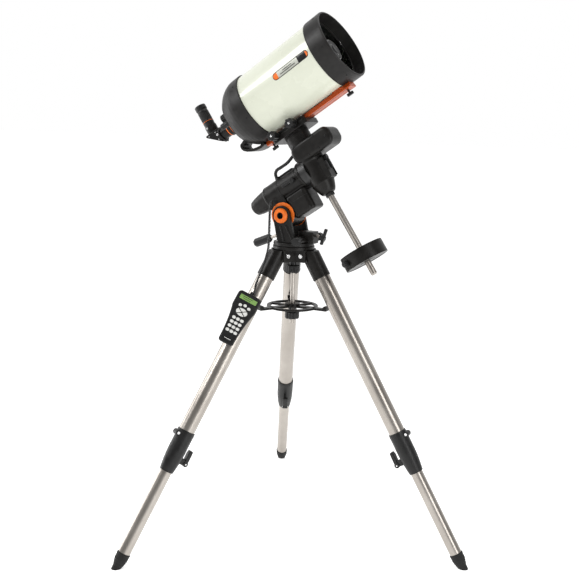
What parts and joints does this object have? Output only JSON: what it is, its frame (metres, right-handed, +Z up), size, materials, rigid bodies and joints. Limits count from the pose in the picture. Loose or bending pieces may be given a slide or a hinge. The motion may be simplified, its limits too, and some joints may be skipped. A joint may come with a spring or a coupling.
{
  "type": "schmidt cassegrain telescope",
  "caption": "Compact mirror-lens telescope tube on a motorised German equatorial mount with counterweight, hand controller and steel tripod.",
  "frame": {"origin": "on the floor, under the middle of the whole telescope's box; the tripod's vertical axis is at X -125.94 mm", "axes": "+Z up, +X the compass direction the polar axis climbs towards, over the front leg"},
  "size_m": [0.9942, 1.082, 1.6504],
  "materials": {
    "black_casting": "satin black paint on aluminium casting",
    "stainless_steel": "polished stainless tube",
    "black_rubber": "matt black rubber",
    "ivory_paint": "glossy pale greenish ivory paint",
    "orange_anodised": "burnt orange anodised aluminium",
    "orange_cap": "satin orange",
    "clear_glass": "coated clear glass",
    "mirror_glass": "front-silvered mirror",
    "white_keys": "soft off-white silicone",
    "black_plastic": "fine-textured black plastic"
  },
  "bodies": {
    "tripod": {"tripod_head": "black_casting", "controller_cord": "black_rubber"},
    "leg_front": {"leg_socket_front": "black_casting", "leg_upper_tube_front": "stainless_steel", "leg_clamp_front": "black_casting"},
    "leg_front_extension": {"leg_lower_tube_front": "stainless_steel", "leg_foot_front": "black_rubber"},
    "leg_front_lever": {"leg_lock_lever_front": "black_plastic"},
    "leg_back": {"leg_socket_back": "black_casting", "leg_upper_tube_back": "stainless_steel", "leg_clamp_back": "black_casting"},
    "leg_back_extension": {"leg_lower_tube_back": "stainless_steel", "leg_foot_back": "black_rubber"},
    "leg_back_lever": {"leg_lock_lever_back": "black_plastic"},
    "leg_left": {"leg_socket_left": "black_casting", "leg_upper_tube_left": "stainless_steel", "leg_clamp_left": "black_casting", "controller_case": "black_plastic"},
    "leg_left_extension": {"leg_lower_tube_left": "stainless_steel", "leg_foot_left": "black_rubber"},
    "leg_left_lever": {"leg_lock_lever_left": "black_plastic"},
    "brace": {"leg_brace": "black_casting"},
    "brace_knob": {"brace_knob": "black_plastic"},
    "mounting_rod": {"mounting_rod": "stainless_steel"},
    "azimuth_base": {"mount_base": "black_casting"},
    "azimuth_screw_near": {"azimuth_screw_near": "black_plastic"},
    "azimuth_screw_far": {"azimuth_screw_far": "black_plastic"},
    "latitude_screw_front": {"latitude_screw_front": "black_plastic"},
    "latitude_screw_rear": {"latitude_screw_rear": "black_plastic"},
    "polar_head": {"polar_housing": "black_casting", "polar_motor_cover": "black_casting", "latitude_pivot": "orange_cap", "declination_cable": "black_rubber"},
    "polar_clutch": {"polar_clutch_lever": "black_plastic"},
    "declination_head": {"declination_housing": "black_casting", "declination_motor_cover": "black_casting", "counterweight_shaft": "stainless_steel"},
    "declination_clutch": {"declination_clutch_lever": "black_plastic"},
    "counterweight": {"counterweight": "black_casting"},
    "counterweight_screw": {"counterweight_screw": "black_plastic"},
    "saddle": {"saddle": "black_casting"},
    "saddle_knob_1": {"saddle_knob_1": "black_plastic"},
    "saddle_knob_2": {"saddle_knob_2": "black_plastic"},
    "tube": {"optical_tube": "ivory_paint", "front_cell": "black_casting", "corrector_plate": "clear_glass", "secondary_holder": "black_plastic", "rear_cell": "black_casting", "carry_handle": "black_casting", "visual_back": "orange_cap", "dovetail_bar": "orange_anodised", "finder_scope": "black_casting"},
    "bar_screw_1": {"bar_screw_1": "black_plastic"},
    "bar_screw_2": {"bar_screw_2": "black_plastic"},
    "primary_mirror": {"primary_mirror": "mirror_glass"},
    "focus_knob": {"focus_knob": "black_rubber"},
    "mirror_lock": {"mirror_lock": "black_plastic"},
    "star_diagonal": {"star_diagonal": "black_casting"},
    "eyepiece": {"eyepiece": "black_plastic"},
    "controller_keypad": {"controller_keypad": "white_keys"}
  },
  "joints": [
    {"name": "leg_front_fold", "type": "hinge", "parent": "tripod", "child": "leg_front", "pos_m": [-0.08094, 0, 0.917], "axis": [0, 1, 0], "range_deg": [0, 20]},
    {"name": "leg_front_extend", "type": "slide", "parent": "leg_front", "child": "leg_front_extension", "axis": [0.5105, 0, -0.8599], "range_m": [-0.26, 0.18]},
    {"name": "leg_front_lever_swing", "type": "hinge", "parent": "leg_front", "child": "leg_front_lever", "pos_m": [0.2554, 0, 0.28702], "axis": [0, -1, 0], "range_deg": [0, 95]},
    {"name": "leg_back_fold", "type": "hinge", "parent": "tripod", "child": "leg_back", "pos_m": [-0.14844, 0.03897, 0.917], "axis": [-0.866, -0.5, 0], "range_deg": [0, 20]},
    {"name": "leg_back_extend", "type": "slide", "parent": "leg_back", "child": "leg_back_extension", "axis": [-0.2553, 0.4421, -0.8599], "range_m": [-0.26, 0.18]},
    {"name": "leg_back_lever_swing", "type": "hinge", "parent": "leg_back", "child": "leg_back_lever", "pos_m": [-0.31661, 0.33025, 0.28702], "axis": [0.866, 0.5, 0], "range_deg": [0, 95]},
    {"name": "leg_left_fold", "type": "hinge", "parent": "tripod", "child": "leg_left", "pos_m": [-0.14844, -0.03897, 0.917], "axis": [0.866, -0.5, 0], "range_deg": [0, 20], "deforming": ["controller_cord"]},
    {"name": "leg_left_extend", "type": "slide", "parent": "leg_left", "child": "leg_left_extension", "axis": [-0.2553, -0.4421, -0.8599], "range_m": [-0.26, 0.18]},
    {"name": "leg_left_lever_swing", "type": "hinge", "parent": "leg_left", "child": "leg_left_lever", "pos_m": [-0.31661, -0.33025, 0.28702], "axis": [-0.866, 0.5, 0], "range_deg": [0, 95]},
    {"name": "brace_drop", "type": "slide", "parent": "tripod", "child": "brace", "axis": [0, 0, -1], "range_m": [0, 0.34]},
    {"name": "brace_knob_turn", "type": "hinge", "parent": "brace", "child": "brace_knob", "pos_m": [-0.12594, 0, 0.73], "axis": [0, 0, 1], "range_deg": [0, 720]},
    {"name": "mounting_rod_turn", "type": "hinge", "parent": "tripod", "child": "mounting_rod", "pos_m": [-0.12594, 0, 0.87], "axis": [0, 0, 1], "range_deg": [0, 720]},
    {"name": "azimuth_turn", "type": "hinge", "parent": "tripod", "child": "azimuth_base", "pos_m": [-0.12594, 0, 0.951], "axis": [0, 0, 1], "range_deg": [-7, 7], "deforming": ["controller_cord"]},
    {"name": "azimuth_screw_near_turn", "type": "hinge", "parent": "azimuth_base", "child": "azimuth_screw_near", "pos_m": [-0.07594, -0.08, 0.967], "axis": [0, -1, 0], "range_deg": [-360, 360]},
    {"name": "azimuth_screw_far_turn", "type": "hinge", "parent": "azimuth_base", "child": "azimuth_screw_far", "pos_m": [-0.07594, 0.08, 0.967], "axis": [0, 1, 0], "range_deg": [-360, 360]},
    {"name": "latitude_screw_front_turn", "type": "hinge", "parent": "azimuth_base", "child": "latitude_screw_front", "pos_m": [-0.04844, 0, 0.981], "axis": [0.9511, 0, -0.309], "range_deg": [-360, 360]},
    {"name": "latitude_screw_rear_turn", "type": "hinge", "parent": "azimuth_base", "child": "latitude_screw_rear", "pos_m": [-0.17594, 0, 0.975], "axis": [0.9272, 0, 0.3746], "range_deg": [-720, 720]},
    {"name": "latitude_tilt", "type": "hinge", "parent": "azimuth_base", "child": "polar_head", "pos_m": [-0.14494, 0, 1.041], "axis": [0, -1, 0], "range_deg": [-12, 30], "deforming": ["controller_cord"]},
    {"name": "polar_clutch_swing", "type": "hinge", "parent": "polar_head", "child": "polar_clutch", "pos_m": [-0.11597, -0.038, 1.15086], "axis": [0, -1, 0], "range_deg": [-40, 40]},
    {"name": "polar_axis_turn", "type": "hinge", "parent": "polar_head", "child": "declination_head", "pos_m": [-0.05794, 0, 1.19], "axis": [0.829, 0, 0.5592], "range_deg": [-95, 95], "deforming": ["declination_cable"]},
    {"name": "declination_clutch_swing", "type": "hinge", "parent": "declination_head", "child": "declination_clutch", "pos_m": [-0.02788, 0, 1.22234], "axis": [0.829, 0, 0.5592], "range_deg": [-40, 40]},
    {"name": "declination_axis_turn", "type": "hinge", "parent": "declination_head", "child": "saddle", "pos_m": [-0.05794, 0, 1.19], "axis": [-0.5592, 0, 0.829], "continuous": true},
    {"name": "counterweight_slide", "type": "slide", "parent": "declination_head", "child": "counterweight", "axis": [0.5592, 0, -0.829], "range_m": [-0.1, 0.04]},
    {"name": "counterweight_screw_turn", "type": "hinge", "parent": "counterweight", "child": "counterweight_screw", "pos_m": [0.09984, -0.03532, 0.9225], "axis": [-0.3892, -0.8829, -0.2625], "range_deg": [0, 720]},
    {"name": "saddle_knob_1_turn", "type": "hinge", "parent": "saddle", "child": "saddle_knob_1", "pos_m": [-0.17161, -0.06, 1.28341], "axis": [0, -1, 0], "range_deg": [0, 720]},
    {"name": "saddle_knob_2_turn", "type": "hinge", "parent": "saddle", "child": "saddle_knob_2", "pos_m": [-0.11192, -0.06, 1.32367], "axis": [0, -1, 0], "range_deg": [0, 720]},
    {"name": "tube_balance", "type": "slide", "parent": "saddle", "child": "tube", "axis": [0.829, 0, 0.5592], "range_m": [-0.06, 0.006]},
    {"name": "bar_screw_1_turn", "type": "hinge", "parent": "tube", "child": "bar_screw_1", "pos_m": [-0.20027, 0, 1.2508], "axis": [0.5592, 0, -0.829], "range_deg": [0, 360]},
    {"name": "bar_screw_2_turn", "type": "hinge", "parent": "tube", "child": "bar_screw_2", "pos_m": [0.04844, 0, 1.41856], "axis": [0.5592, 0, -0.829], "range_deg": [0, 360]},
    {"name": "focus_turn", "type": "hinge", "parent": "tube", "child": "focus_knob", "pos_m": [-0.34884, -0.049, 1.33515], "axis": [0.829, 0, 0.5592], "range_deg": [-3600, 3600]},
    {"name": "mirror_travel", "type": "slide", "parent": "tube", "child": "primary_mirror", "axis": [0.829, 0, 0.5592], "range_m": [-0.0076, 0.0076]},
    {"name": "mirror_lock_turn", "type": "hinge", "parent": "tube", "child": "mirror_lock", "pos_m": [-0.33653, -0.064, 1.31691], "axis": [-0.829, 0, -0.5592], "range_deg": [0, 360]},
    {"name": "diagonal_turn", "type": "hinge", "parent": "tube", "child": "star_diagonal", "pos_m": [-0.37082, 0, 1.2962], "axis": [0.829, 0, 0.5592], "continuous": true},
    {"name": "eyepiece_slide", "type": "slide", "parent": "star_diagonal", "child": "eyepiece", "axis": [-0.5592, 0, 0.829], "range_m": [0, 0.02]},
    {"name": "keypad_press", "type": "slide", "parent": "leg_left", "child": "controller_keypad", "axis": [-0.5066, 0.8186, -0.2705], "range_m": [0, 0.001], "stiffness_N_per_m": 600}
  ],
  "couplings": [
    {"joint": "leg_back_fold", "follows": "leg_front_fold", "ratio": 1},
    {"joint": "leg_left_fold", "follows": "leg_front_fold", "ratio": 1},
    {"joint": "brace_drop", "follows": "leg_front_fold", "m_per_rad": 0.96}
  ]
}
